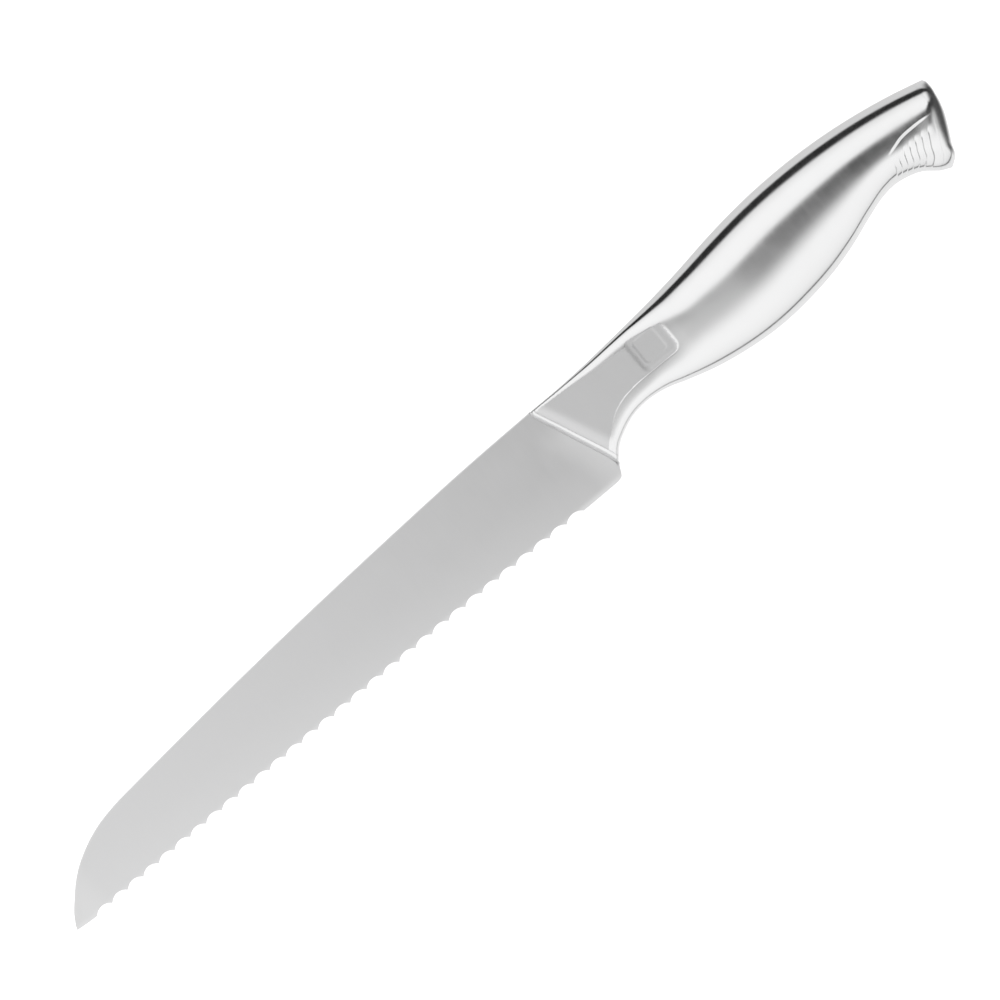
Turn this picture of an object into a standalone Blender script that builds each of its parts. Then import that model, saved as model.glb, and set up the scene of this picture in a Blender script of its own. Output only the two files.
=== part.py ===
"""Bread knife with a scalloped steel blade and a hollow steel handle, lying on its side.

The handle is made the way such handles are: two pressed half shells, joined by filler runs
along the spine and the belly, closed by a collar at the blade and a cap at the butt.
The blade's tang is set in resin, and a bedded steel slug brings the balance to the collar.

Drawing axes, in millimetres: x from the tip to the butt, y from the edge to the spine, z across
the knife with 0 at its middle plane. The empty named "knife" carries the drawing to the part's
frame: origin under the middle of the knife, +Z up, the knife lying on its flank.
"""

import math
from bisect import bisect_right

import bmesh
import bpy

MM = 0.001

# Blade
BLADE_THICKNESS = 2.0
EDGE_THICKNESS = 0.4
TIP_X = -171.5
TOOTH_PITCH = 6.0
SCALLOP_COUNT = 30
FIRST_TOOTH_X = -164.0
SCALLOP_DEPTH = 1.25
SCALLOP_STEPS = 6
GRIND_HEIGHT = 11.0
HEEL_X = 28.0
SPINE_LINE = [
    (TIP_X, -16.6), (-170.0, -13.8), (-166.0, -9.15), (-160.0, -3.8), (-154.0, -0.3), (-148.0, 2.0),
    (-140.0, 3.7), (-130.0, 4.68), (-120.0, 5.6), (-90.0, 8.1), (-60.0, 10.1), (-30.0, 11.65), (0.0, 12.8),
    (21.3, 13.1),
]
EDGE_LINE = [
    (TIP_X, -16.7), (-168.0, -17.05), (-165.0, -17.2), (-158.0, -17.08), (-150.0, -17.0), (-134.0, -16.85),
    (-120.0, -16.75), (-74.0, -16.5), (-20.0, -16.5), (16.0, -16.8), (HEEL_X, -16.7),
]
HEEL_LINE = [(HEEL_X, -16.7), (29.2, -16.4), (29.9, -15.7), (30.8, -13.9), (31.3, -12.9)]
SHOULDER_LINE = [(21.3, 13.1), (21.45, 11.7), (22.3, 9.3), (24.25, 5.0), (26.3, 0.0), (31.3, -12.45)]
TANG_THICKNESS = 1.8
TANG_START_X = 15.0
TANG_END_X = 58.0
TANG_LOW_Y = -1.6
TANG_HIGH_Y = 8.6
TANG_HOLE_X = 50.0
TANG_HOLE_RADIUS = 2.5

# Handle outline
TOP_LINE = [
    (21.7, 13.0), (32.0, 13.0), (40.0, 13.3), (52.0, 14.1), (64.0, 15.1), (76.0, 16.5), (88.0, 18.3),
    (100.0, 19.55), (112.0, 19.96), (124.0, 19.5), (136.0, 18.1), (148.0, 15.8), (156.6, 13.6),
]
BELLY_LINE = [
    (31.6, -12.5), (34.0, -9.8), (38.0, -7.3), (42.0, -5.7), (48.0, -4.9), (54.0, -5.65), (60.0, -7.6),
    (68.0, -9.9), (76.0, -11.4), (88.0, -12.4), (100.0, -11.6), (108.0, -10.3), (116.0, -8.15),
    (124.0, -5.3), (130.0, -3.5), (134.0, -3.05), (138.0, -3.6), (142.0, -5.05), (146.0, -8.1), (148.4, -9.2),
]
FRONT_LINE = [
    (-12.5, 31.6), (-10.0, 30.75), (-5.0, 28.75), (0.0, 26.65), (5.0, 24.6), (9.2, 22.8), (11.6, 21.85),
    (13.0, 21.7),
]
END_LINE = [
    (-9.2, 148.4), (-8.0, 150.1), (-4.0, 152.2), (0.0, 154.2), (4.0, 155.9), (8.0, 156.9), (11.0, 157.25),
    (13.0, 157.0), (13.6, 156.6),
]
HANDLE_RUN = 126.0

# Handle cross-section: line of its crest, half thickness there, and how square its two edges are
CREST_LINE = [
    (22.0, 1.5), (60.0, 1.5), (68.0, 1.65), (80.0, 2.0), (90.0, 2.5), (100.0, 3.7), (108.0, 4.7),
    (116.0, 5.6), (124.0, 6.1), (132.0, 5.75), (140.0, 5.0), (150.0, 4.65), (157.0, 4.6),
]
CROWN = [
    (22.0, 4.2), (32.0, 4.6), (40.0, 4.96), (50.0, 5.39), (56.0, 5.62), (60.0, 5.8), (64.0, 6.03),
    (68.0, 6.38), (74.0, 6.85), (80.0, 7.28), (88.0, 7.78), (98.0, 8.0), (108.0, 8.0), (116.0, 7.93),
    (124.0, 7.78), (136.0, 7.4), (150.0, 7.2), (157.0, 7.1),
]
SPINE_SQUARENESS = [
    (22.0, 14.0), (30.0, 12.0), (35.0, 9.6), (40.0, 7.2), (50.0, 5.4), (56.0, 4.4), (60.0, 3.5), (64.0, 2.85),
    (68.0, 2.4), (76.0, 2.2), (100.0, 2.12), (120.0, 2.03), (157.0, 2.0),
]
BELLY_SQUARENESS = [
    (22.0, 7.0), (36.0, 6.0), (44.0, 5.0), (50.0, 4.3), (56.0, 3.2), (60.0, 2.85), (68.0, 2.3), (80.0, 2.2),
    (92.0, 2.05), (108.0, 1.95), (124.0, 2.1), (157.0, 2.0),
]
COLLAR_RISE = 1.15
COLLAR_FOOT_SHARE = 0.34
COLLAR_TOP_SHARE = 0.74
NECK_RISE = 5.0
BUTT_ROUNDING = 4.8
BUTT_EDGE_ROUNDING = 2.9
THINNEST_SHARE = 0.4

# Flat on each side of the neck, with the sunken plain panel in it
FACET_START_X = 24.0
FACET_END_X = 64.6
FACET_START_HALF = 4.18
FACET_END_HALF = 5.9
FACET_CORNER = 2.4
FACET_STEP = 0.62
CREASE_LINE = [(31.0, -9.5), (35.5, -5.6), (39.5, -2.4), (43.5, -0.75), (48.5, 0.0), (57.0, 0.0), (66.0, 0.0)]
CREASE_REST = -0.45
PANEL_LOW = (52.4, 0.4)
PANEL_HIGH = (64.9, 16.0)
PANEL_CORNER = 2.4
PANEL_BANK = 1.4
PANEL_DEPTH = 0.16

# Scooped and ribbed grip at the butt
SCOOP_START_X = 136.5
SCOOP_START_RUN = 6.0
SCOOP_TOP_LINE = [(136.0, 3.9), (139.5, 4.9), (142.0, 5.6), (147.0, 5.85), (152.0, 5.6), (158.0, 5.4)]
SCOOP_DEPTH = 0.44
SCOOP_BANK = 0.62
SCOOP_RUN = 9.0
SCOOP_FADE = 0.4
SCOOP_END = 3.2
SCOOP_END_RUN = 5.0
RIB_PITCH = 1.72
RIB_COUNT = 7
RIB_HEIGHT = 0.32
RIB_FACE = 0.16
RIB_TOP = 2.2
RIB_TOP_RUN = 3.0
LAST_RIB_FROM_END = 3.65

# Shells, welds and fillings
WALL = 1.0
GAP = 0.3
FILLING_GAP = 0.8
WELD_WIDTH = 0.6
WELD_DEPTH = 1.0
COLLAR_LENGTH = 1.2
SPIGOT_LENGTH = 2.5
CAP_LENGTH = 3.2
CEMENT_END = 38.0
STOP_LENGTH = 4.0
BEDDING_START = 47.0
BEDDING_END = 74.0
WEIGHT_RADIUS = 4.5
WEIGHT_START_X = 74.0
WEIGHT_LENGTH = 30.0
WEIGHT_Y = 3.0

# Finish
STEEL = (0.74, 0.74, 0.75)
ROD_STEEL = (0.42, 0.43, 0.45)
RESIN = (0.62, 0.55, 0.40)
FOAM = (0.30, 0.30, 0.32)

SECTION_STEPS = 12


def smooth_curve(points):
    """A function of the first coordinate that runs smoothly through the points."""
    xs = [p[0] for p in points]
    ys = [p[1] for p in points]
    secants = [(y1 - y0) / (x1 - x0) for x0, x1, y0, y1 in zip(xs, xs[1:], ys, ys[1:])]
    slopes = [secants[0]]
    for i in range(1, len(secants)):
        before = xs[i] - xs[i - 1]
        after = xs[i + 1] - xs[i]
        slopes.append((secants[i - 1] * after + secants[i] * before) / (before + after))
    slopes.append(secants[-1])

    def value(x):
        x = min(max(x, xs[0]), xs[-1])
        i = min(bisect_right(xs, x) - 1, len(secants) - 1)
        step = xs[i + 1] - xs[i]
        k = (x - xs[i]) / step
        rise = (2 * k**3 - 3 * k**2 + 1) * ys[i] + (3 * k**2 - 2 * k**3) * ys[i + 1]
        return rise + step * ((k**3 - 2 * k**2 + k) * slopes[i] + (k**3 - k**2) * slopes[i + 1])

    return value


spine_y = smooth_curve(SPINE_LINE)
edge_y = smooth_curve(EDGE_LINE)
heel_y = smooth_curve(HEEL_LINE)
shoulder_y = smooth_curve(SHOULDER_LINE)
top_y = smooth_curve(TOP_LINE)
belly_y = smooth_curve(BELLY_LINE)
front_x = smooth_curve(FRONT_LINE)
end_x = smooth_curve(END_LINE)
crest_y = smooth_curve(CREST_LINE)
crown_z = smooth_curve(CROWN)
spine_squareness = smooth_curve(SPINE_SQUARENESS)
belly_squareness = smooth_curve(BELLY_SQUARENESS)
crease_y = smooth_curve(CREASE_LINE)
scoop_top_y = smooth_curve(SCOOP_TOP_LINE)


def smooth_step(value):
    value = min(max(value, 0.0), 1.0)
    return value * value * (3.0 - 2.0 * value)


def blend(a, b, share):
    return a + (b - a) * share


def outline_point(u, s):
    """Plan position in the handle: u runs from the collar to the butt, s from the belly to the spine."""
    top_x = blend(TOP_LINE[0][0], TOP_LINE[-1][0], u)
    belly_x = blend(BELLY_LINE[0][0], BELLY_LINE[-1][0], u)
    front = blend(BELLY_LINE[0][1], TOP_LINE[0][1], s)
    end = blend(BELLY_LINE[-1][1], TOP_LINE[-1][1], s)
    across = (blend(belly_x, top_x, s), blend(belly_y(belly_x), top_y(top_x), s))
    along = (blend(front_x(front), end_x(end), u), blend(front, end, u))
    corners = (
        blend(blend(BELLY_LINE[0][0], TOP_LINE[0][0], s), blend(BELLY_LINE[-1][0], TOP_LINE[-1][0], s), u),
        blend(front, end, u),
    )
    return tuple(a + b - c for a, b, c in zip(across, along, corners))


def inset_point(u, t, inset):
    """Plan position with belly and spine drawn in by inset; t is -1 at the belly and 1 at the spine."""
    low = outline_point(u, 0.0)
    high = outline_point(u, 1.0)
    shrink = 1.0 - 2.0 * inset / math.dist(low, high)
    return outline_point(u, 0.5 + 0.5 * t * shrink)


def front_share(distance):
    """How much of the full thickness the handle has this far behind the front of the collar."""
    if distance < COLLAR_RISE:
        climb = math.sqrt(1.0 - (1.0 - distance / COLLAR_RISE) ** 2)
        return blend(COLLAR_FOOT_SHARE, COLLAR_TOP_SHARE, climb)
    left = max(0.0, 1.0 - (distance - COLLAR_RISE) / (NECK_RISE - COLLAR_RISE))
    return 1.0 - (1.0 - COLLAR_TOP_SHARE) * left**3


def butt_share(distance, t):
    """How much of the full thickness is left near the butt, which is rounded most at the middle."""
    radius = blend(BUTT_ROUNDING, BUTT_EDGE_ROUNDING, smooth_step(abs(t) / 0.8))
    left = max(0.0, 1.0 - distance / radius)
    return (1.0 - left * left) ** (1.0 / 3.0)


def facet_share(x, y):
    """1 on the neck's flat, 0 on the swelling around it, with a rounded corner between them."""
    above = y - crease_y(x)
    before = FACET_END_X - x
    depth = min(above, before)
    if above < FACET_CORNER and before < FACET_CORNER:
        depth = FACET_CORNER - math.hypot(FACET_CORNER - above, FACET_CORNER - before)
    return smooth_step(depth / FACET_STEP)


def panel_share(x, y):
    """1 on the floor of the sunken panel, 0 outside its soft bank with rounded corners."""
    beside = max(PANEL_LOW[0] - x, x - PANEL_HIGH[0]) + PANEL_CORNER
    above = max(PANEL_LOW[1] - y, y - PANEL_HIGH[1]) + PANEL_CORNER
    outside = math.hypot(max(beside, 0.0), max(above, 0.0))
    return smooth_step((PANEL_CORNER - outside - min(max(beside, above), 0.0)) / PANEL_BANK)


def flat_height(x, y):
    """Half thickness at the neck's flat, which rises evenly towards the butt and holds the panel."""
    share = (x - FACET_START_X) / (FACET_END_X - FACET_START_X)
    return blend(FACET_START_HALF, FACET_END_HALF, share) - PANEL_DEPTH * panel_share(x, y)


def grip_depth(x, y, from_end, t):
    """Depth of the scoop at the butt, with its shingled ribs."""
    below_top = scoop_top_y(x) - y
    bank = smooth_step(below_top / SCOOP_BANK) * (1.0 - SCOOP_FADE * smooth_step(below_top / SCOOP_RUN))
    ends = smooth_step((x - SCOOP_START_X) / SCOOP_START_RUN)
    ends *= smooth_step((from_end - SCOOP_END) / SCOOP_END_RUN)
    phase = (from_end - LAST_RIB_FROM_END) / RIB_PITCH
    rib = 0.0
    if 0.0 <= phase <= RIB_COUNT:
        shingle = min((phase % 1.0) / (1.0 - RIB_FACE), (1.0 - phase % 1.0) / RIB_FACE)
        rib = RIB_HEIGHT * shingle * smooth_step((below_top - RIB_TOP) / RIB_TOP_RUN)
    return SCOOP_DEPTH * bank * ends * (1.0 - t**4) + rib * (1.0 - t**8)


def rounded_share(u, t):
    """Share of the crown's height: a squared ellipse on each side of the section's crest."""
    low = outline_point(u, 0.0)
    high = outline_point(u, 1.0)
    crest = 2.0 * (crest_y(0.5 * (low[0] + high[0])) - low[1]) / (high[1] - low[1]) - 1.0
    if t > crest:
        reach = (t - crest) / (1.0 - crest)
        squareness = spine_squareness(high[0])
    else:
        reach = (crest - t) / (1.0 + crest)
        squareness = belly_squareness(low[0])
    return max(0.0, 1.0 - reach**squareness) ** (1.0 / squareness)


def half_thickness(u, t, inset=0.0):
    """Height of the handle's skin over the middle plane, or of a skin drawn in by inset."""
    x, y = inset_point(u, t, 0.0)
    body = (crown_z(x) - inset) * rounded_share(u, t)
    flat = min(body, flat_height(x, y) - inset)
    from_end = (1.0 - u) * HANDLE_RUN
    height = blend(body, flat, facet_share(x, y)) * front_share(u * HANDLE_RUN) * butt_share(from_end, t)
    return max(THINNEST_SHARE * height, height - grip_depth(x, y, from_end, t))


def crease_t(u):
    """The section parameter that the crease of the neck's flat runs along."""
    low = outline_point(u, 0.0)
    high = outline_point(u, 1.0)
    target = 2.0 * (crease_y(low[0]) - low[1]) / (high[1] - low[1]) - 1.0
    near = smooth_step((u * HANDLE_RUN - 1.0) / 6.0) * (1.0 - smooth_step((u * HANDLE_RUN - 34.0) / 14.0))
    return blend(CREASE_REST, min(max(target, -0.8), 0.2), near)


def section_steps(u):
    """Section parameters from the belly to the spine, close together at the edges and on the crease."""
    turns = [math.sin(math.pi * (i / SECTION_STEPS - 0.5)) for i in range(SECTION_STEPS + 1)]
    crease = crease_t(u)
    steps = []
    for turn in turns:
        if turn < CREASE_REST:
            steps.append(-1.0 + (turn + 1.0) * (crease + 1.0) / (CREASE_REST + 1.0))
        else:
            steps.append(1.0 - (1.0 - turn) * (1.0 - crease) / (1.0 - CREASE_REST))
    return steps


def clear_scene():
    for obj in list(bpy.data.objects):
        bpy.data.objects.remove(obj)


def metal(name, colour, roughness, metallic):
    material = bpy.data.materials.new(name)
    material.use_nodes = True
    shader = material.node_tree.nodes["Principled BSDF"]
    shader.inputs["Base Color"].default_value = (*colour, 1.0)
    shader.inputs["Roughness"].default_value = roughness
    shader.inputs["Metallic"].default_value = metallic
    return material


def add_object(name, mesh, knife, material):
    """Closes a bmesh drawn in millimetres into an object that hangs from the knife's empty."""
    bmesh.ops.scale(mesh, vec=(MM, MM, MM), verts=mesh.verts)
    bmesh.ops.remove_doubles(mesh, verts=mesh.verts, dist=1e-7)
    bmesh.ops.dissolve_degenerate(mesh, edges=mesh.edges, dist=1e-7)
    bmesh.ops.recalc_face_normals(mesh, faces=mesh.faces)
    data = bpy.data.meshes.new(name)
    mesh.to_mesh(data)
    mesh.free()
    data.shade_smooth()
    data.set_sharp_from_angle(angle=math.radians(35.0))
    data.materials.append(material)
    obj = bpy.data.objects.new(name, data)
    bpy.context.scene.collection.objects.link(obj)
    obj.parent = knife
    return obj


def loft(rings, close_first=True):
    """A bmesh through rings of equal length, with a face across the last and, mostly, the first."""
    mesh = bmesh.new()
    loops = [[mesh.verts.new(point) for point in ring] for ring in rings]
    for loop, following in zip(loops, loops[1:]):
        for i in range(len(loop)):
            j = (i + 1) % len(loop)
            mesh.faces.new((loop[i], loop[j], following[j], following[i]))
    if close_first:
        mesh.faces.new(loops[0])
    mesh.faces.new(loops[-1])
    return mesh


def full_ring(u, inset=0.0):
    """The handle's whole section at u: up one flank from the belly and down the other."""
    steps = section_steps(u)
    near = [(*inset_point(u, t, inset), half_thickness(u, t, inset)) for t in steps]
    far = [(x, y, -z) for x, y, z in near[-2:0:-1]]
    return near + far


def cut(obj, cutter):
    """Subtracts the cutter, which stays in the file as a hidden guide."""
    cutter.hide_render = True
    cutter.display_type = "WIRE"
    modifier = obj.modifiers.new("cut", "BOOLEAN")
    modifier.operation = "DIFFERENCE"
    modifier.solver = "EXACT"
    modifier.object = cutter


def block(low, high):
    mesh = bmesh.new()
    bmesh.ops.create_cube(mesh, size=1.0)
    for vert in mesh.verts:
        vert.co = [blend(a, b, c + 0.5) for a, b, c in zip(low, high, vert.co)]
    return mesh


def rod(centre, radius, length, along_x, segments):
    mesh = bmesh.new()
    bmesh.ops.create_cone(
        mesh, cap_ends=True, segments=segments, radius1=radius, radius2=radius, depth=length
    )
    for vert in mesh.verts:
        x, y, z = vert.co
        if along_x:
            x, z = z, -x
        vert.co = (x + centre[0], y + centre[1], z + centre[2])
    return mesh


def blade_stations():
    """x of every column of the blade: along the tip's curve, round each scallop, and down the heel."""
    first_stretch = FIRST_TOOTH_X - TIP_X
    xs = [TIP_X + share * first_stretch for share in (0.0, 0.05, 0.13, 0.25, 0.4, 0.6, 0.8)]
    for i in range(SCALLOP_COUNT * SCALLOP_STEPS + 1):
        xs.append(FIRST_TOOTH_X + TOOTH_PITCH * i / SCALLOP_STEPS)
    last_tooth_x = FIRST_TOOTH_X + TOOTH_PITCH * SCALLOP_COUNT
    xs.append(blend(last_tooth_x, SHOULDER_LINE[0][0], 0.5))
    xs += [x for x, _ in SHOULDER_LINE[:-1]]
    xs.append(blend(SHOULDER_LINE[-2][0], HEEL_X, 0.5))
    xs += [x for x, _ in HEEL_LINE]
    return xs


def blade_edge(x):
    """Lower outline of the blade: arcs between the tooth tips, then the plain heel."""
    if x > HEEL_X:
        return heel_y(x)
    base = edge_y(x)
    along = x - FIRST_TOOTH_X
    if along <= 0.0 or along >= TOOTH_PITCH * SCALLOP_COUNT:
        return base
    half = TOOTH_PITCH / 2.0
    radius = (half * half + SCALLOP_DEPTH * SCALLOP_DEPTH) / (2.0 * SCALLOP_DEPTH)
    off = along % TOOTH_PITCH - half
    return base + math.sqrt(radius * radius - off * off) - (radius - SCALLOP_DEPTH)


def blade_top(x):
    """Upper outline of the blade: the spine, then the slanting shoulder that meets the collar."""
    if x <= SHOULDER_LINE[0][0]:
        return spine_y(x)
    return shoulder_y(x)


def blade_column(x):
    """One upright slice of the blade, from the edge round the spine and back."""
    low = blade_edge(x)
    high = max(blade_top(x), low + 0.3)
    grind = min(edge_y(x) + GRIND_HEIGHT, blend(low, high, 0.6))
    half = BLADE_THICKNESS / 2.0
    slope = min(1.0, (grind - low) / GRIND_HEIGHT)
    edge_half = blend(half, EDGE_THICKNESS / 2.0, slope)
    tip_thinning = 0.35 + 0.65 * smooth_step((x - TIP_X) / 8.0)
    near = [(low, edge_half * tip_thinning), (grind, half * tip_thinning), (high, half * tip_thinning)]
    ring = [(x, y, z) for y, z in near]
    return ring + [(x, y, -z) for y, z in reversed(near)]


def make_blade(knife, steel):
    """Blade and tang in one: the tang is thinner, so the collar seats on square shoulders."""
    blade = add_object("blade", loft([blade_column(x) for x in blade_stations()]), knife, steel)
    half = TANG_THICKNESS / 2.0
    tang = block((TANG_START_X, TANG_LOW_Y, -half), (TANG_END_X, TANG_HIGH_Y, half))
    tang_obj = add_object("tang_blank", tang, knife, steel)
    tang_obj.hide_render = True
    tang_obj.display_type = "WIRE"
    join = blade.modifiers.new("tang", "BOOLEAN")
    join.operation = "UNION"
    join.solver = "EXACT"
    join.object = tang_obj
    middle_y = (TANG_LOW_Y + TANG_HIGH_Y) / 2.0
    hole = rod((TANG_HOLE_X, middle_y, 0.0), TANG_HOLE_RADIUS, 4.0 * BLADE_THICKNESS, False, 24)
    cut(blade, add_object("tang_hole_cutter", hole, knife, steel))


def tang_slot(name, knife, steel):
    """Cutter for what the tang passes through, one gap larger than the tang all round."""
    half = TANG_THICKNESS / 2.0 + GAP
    low = (TANG_START_X, TANG_LOW_Y - GAP, -half)
    high = (TANG_END_X + GAP, TANG_HIGH_Y + GAP, half)
    return add_object(name, block(low, high), knife, steel)


def make_collar(knife, steel):
    """Rounded collar at the blade, with a spigot that fits inside the shells."""
    distances = [0.0, 0.15, 0.45, 0.8, COLLAR_LENGTH]
    rings = [full_ring(d / HANDLE_RUN) for d in distances]
    inset = WALL + GAP
    rings.append(full_ring(COLLAR_LENGTH / HANDLE_RUN, inset))
    rings.append(full_ring((COLLAR_LENGTH + SPIGOT_LENGTH) / HANDLE_RUN, inset))
    collar = add_object("bolster_collar", loft(rings), knife, steel)
    cut(collar, tang_slot("collar_slot_cutter", knife, steel))


def shell_stations():
    """Distances behind the collar's front at which the shells have a section."""
    start = COLLAR_LENGTH + GAP
    end = HANDLE_RUN - CAP_LENGTH - GAP
    ribs_start = HANDLE_RUN - LAST_RIB_FROM_END - RIB_PITCH * RIB_COUNT
    stations = [start, 2.2, 3.2, 5.0]
    stations += [5.0 + 2.8 * i for i in range(1, 12)]
    stations += [36.7, 37.9, 39.0, 41.0, 46.0, 53.0, 61.0, 69.0, 77.0, 85.0, 92.0, 98.0, 103.0, 106.0]
    for i in range(RIB_COUNT):
        rib = ribs_start + RIB_PITCH * i
        stations += [rib, rib + RIB_FACE * RIB_PITCH]
    return [d for d in stations if d < end - 0.3] + [end]


def make_shell(name, side, knife, steel):
    """One pressed half of the handle: an outer skin, the same drawn in by the wall, and four rims."""
    mesh = bmesh.new()
    rim = WELD_WIDTH / 2.0 + GAP
    grids = []
    for inset in (0.0, WALL):
        grid = []
        for distance in shell_stations():
            u = distance / HANDLE_RUN
            row = []
            for t in section_steps(u):
                x, y = inset_point(u, t, inset)
                row.append(mesh.verts.new((x, y, side * max(rim, half_thickness(u, t, inset)))))
            grid.append(row)
        grids.append(grid)
    outer, inner = grids
    for grid in grids:
        for row, following in zip(grid, grid[1:]):
            for i in range(SECTION_STEPS):
                mesh.faces.new((row[i], row[i + 1], following[i + 1], following[i]))
    for i in range(SECTION_STEPS):
        for end in (0, -1):
            mesh.faces.new((outer[end][i], outer[end][i + 1], inner[end][i + 1], inner[end][i]))
    for i in range(len(outer) - 1):
        for end in (0, -1):
            mesh.faces.new((outer[i][end], outer[i + 1][end], inner[i + 1][end], inner[i][end]))
    add_object(name, mesh, knife, steel)


def make_weld(name, t, knife, steel):
    """Filler run between the shells' rims, level with the outline."""
    half = WELD_WIDTH / 2.0
    rings = []
    for distance in shell_stations()[::2] + [shell_stations()[-1]]:
        u = distance / HANDLE_RUN
        outer = inset_point(u, t, 0.0)
        inner = inset_point(u, t, WELD_DEPTH)
        rings.append([(*outer, half), (*outer, -half), (*inner, -half), (*inner, half)])
    add_object(name, loft(rings), knife, steel)


def make_cap(knife, steel):
    """Domed cap at the butt, with a spigot that fits inside the shells. Its flanks meet at the end line."""
    distances = [0.0, 0.06, 0.25, 0.6, 1.1, 1.8, 2.5, CAP_LENGTH]
    rings = [full_ring(1.0 - d / HANDLE_RUN) for d in distances]
    inset = WALL + GAP
    rings.append(full_ring(1.0 - CAP_LENGTH / HANDLE_RUN, inset))
    rings.append(full_ring(1.0 - (CAP_LENGTH + SPIGOT_LENGTH) / HANDLE_RUN, inset))
    add_object("butt_cap", loft(rings, close_first=False), knife, steel)


def filling(name, start, end, knife, material):
    """A block that fills the hollow handle between two distances behind the collar."""
    inset = WALL + FILLING_GAP
    distances = [start] + [d for d in shell_stations() if start < d < end] + [end]
    return add_object(name, loft([full_ring(d / HANDLE_RUN, inset) for d in distances]), knife, material)


def make_fillings(knife, steel):
    resin = metal("resin", RESIN, 0.55, 0.0)
    foam = metal("foam", FOAM, 0.85, 0.0)
    rod_steel = metal("rod_steel", ROD_STEEL, 0.4, 1.0)
    cement_start = COLLAR_LENGTH + SPIGOT_LENGTH + GAP
    cement = filling("tang_cement", cement_start, CEMENT_END, knife, resin)
    cut(cement, tang_slot("cement_slot_cutter", knife, steel))
    filling("cement_stop", CEMENT_END + GAP, CEMENT_END + GAP + STOP_LENGTH, knife, foam)
    bedding = filling("weight_bedding", BEDDING_START, BEDDING_END, knife, resin)
    centre_x = WEIGHT_START_X + WEIGHT_LENGTH / 2.0
    weight = rod((centre_x, WEIGHT_Y, 0.0), WEIGHT_RADIUS, WEIGHT_LENGTH, True, 24)
    add_object("balance_weight", weight, knife, rod_steel)
    bore = rod((centre_x, WEIGHT_Y, 0.0), WEIGHT_RADIUS + GAP, WEIGHT_LENGTH + 2.0 * GAP, True, 24)
    cut(bedding, add_object("weight_bore_cutter", bore, knife, rod_steel))


def main():
    clear_scene()
    knife = bpy.data.objects.new("knife", None)
    bpy.context.scene.collection.objects.link(knife)
    steel = metal("brushed_steel", STEEL, 0.28, 1.0)
    low_y = min(y for _, y in EDGE_LINE)
    high_y = max(y for _, y in TOP_LINE)
    butt_x = max(x for _, x in END_LINE)
    thickness = 2.0 * max(z for _, z in CROWN)
    knife.location = (
        -MM * (TIP_X + butt_x) / 2.0,
        -MM * (low_y + high_y) / 2.0,
        MM * thickness / 2.0,
    )
    make_blade(knife, steel)
    make_collar(knife, steel)
    make_shell("handle_shell_left", 1.0, knife, steel)
    make_shell("handle_shell_right", -1.0, knife, steel)
    make_weld("spine_weld", 1.0, knife, steel)
    make_weld("belly_weld", -1.0, knife, steel)
    make_cap(knife, steel)
    make_fillings(knife, steel)


main()
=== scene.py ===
import math

import bmesh
import bpy
import numpy as np
from mathutils import Matrix, Vector


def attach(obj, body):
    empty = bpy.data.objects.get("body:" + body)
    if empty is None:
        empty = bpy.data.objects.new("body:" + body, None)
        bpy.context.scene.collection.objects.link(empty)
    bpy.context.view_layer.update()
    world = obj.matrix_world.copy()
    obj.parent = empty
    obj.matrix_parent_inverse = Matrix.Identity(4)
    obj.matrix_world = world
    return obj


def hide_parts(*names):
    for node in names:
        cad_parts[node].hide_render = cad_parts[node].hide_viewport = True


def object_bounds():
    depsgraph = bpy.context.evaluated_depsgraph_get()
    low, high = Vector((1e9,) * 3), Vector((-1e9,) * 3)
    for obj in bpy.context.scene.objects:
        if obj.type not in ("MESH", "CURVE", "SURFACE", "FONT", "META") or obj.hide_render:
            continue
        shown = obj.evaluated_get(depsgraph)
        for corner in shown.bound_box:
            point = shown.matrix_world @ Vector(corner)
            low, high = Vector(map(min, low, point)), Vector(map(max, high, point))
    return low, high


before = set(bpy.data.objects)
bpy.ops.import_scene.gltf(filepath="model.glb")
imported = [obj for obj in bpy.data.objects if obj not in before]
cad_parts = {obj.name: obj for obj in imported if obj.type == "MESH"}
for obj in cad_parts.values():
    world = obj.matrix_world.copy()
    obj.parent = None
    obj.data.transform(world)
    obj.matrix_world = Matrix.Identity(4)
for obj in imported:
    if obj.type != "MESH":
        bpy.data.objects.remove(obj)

# The bread knife, drawn in millimetres as in the CAD: x from the tip to the butt, y from the edge to
# the spine, z across the knife with 0 at its middle plane. placed() carries a drawing into the frame.

MM = 0.001
cad_low, cad_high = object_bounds()

# Blade
TIP_X = -171.5
HALF_BLADE = 1.0
TIP_THICKNESS_SHARE = 0.6
TIP_THICKNESS_RUN = 14.0
SMALLEST_HEIGHT = 0.25
TOOTH_PITCH = 6.0
SCALLOP_COUNT = 30
FIRST_TOOTH_X = -164.2
SCALLOP_DEPTH = 1.3
SCALLOP_COLUMNS = 18
TIP_COLUMNS = [0, 0.01, 0.025, 0.05, 0.08, 0.12, 0.18, 0.25, 0.33, 0.42, 0.52, 0.62, 0.72, 0.82, 0.92]
HEEL_X = 28.0
SPINE_LINE = [
    (TIP_X, -16.55), (-171.2, -15.9), (-170.2, -14.2), (-166.0, -9.3), (-160.0, -4.0), (-154.0, -0.5),
    (-148.0, 1.9), (-140.0, 3.65), (-130.0, 4.68), (-120.0, 5.6), (-90.0, 8.1), (-60.0, 10.1), (-30.0, 11.65),
    (0.0, 12.8), (21.3, 13.1),
]
EDGE_LINE = [
    (TIP_X, -16.7), (-168.0, -17.03), (-165.0, -17.15), (-158.0, -17.05), (-150.0, -16.97), (-134.0, -16.83),
    (-120.0, -16.75), (-74.0, -16.5), (-20.0, -16.5), (16.0, -16.8), (HEEL_X, -16.7),
]
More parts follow.
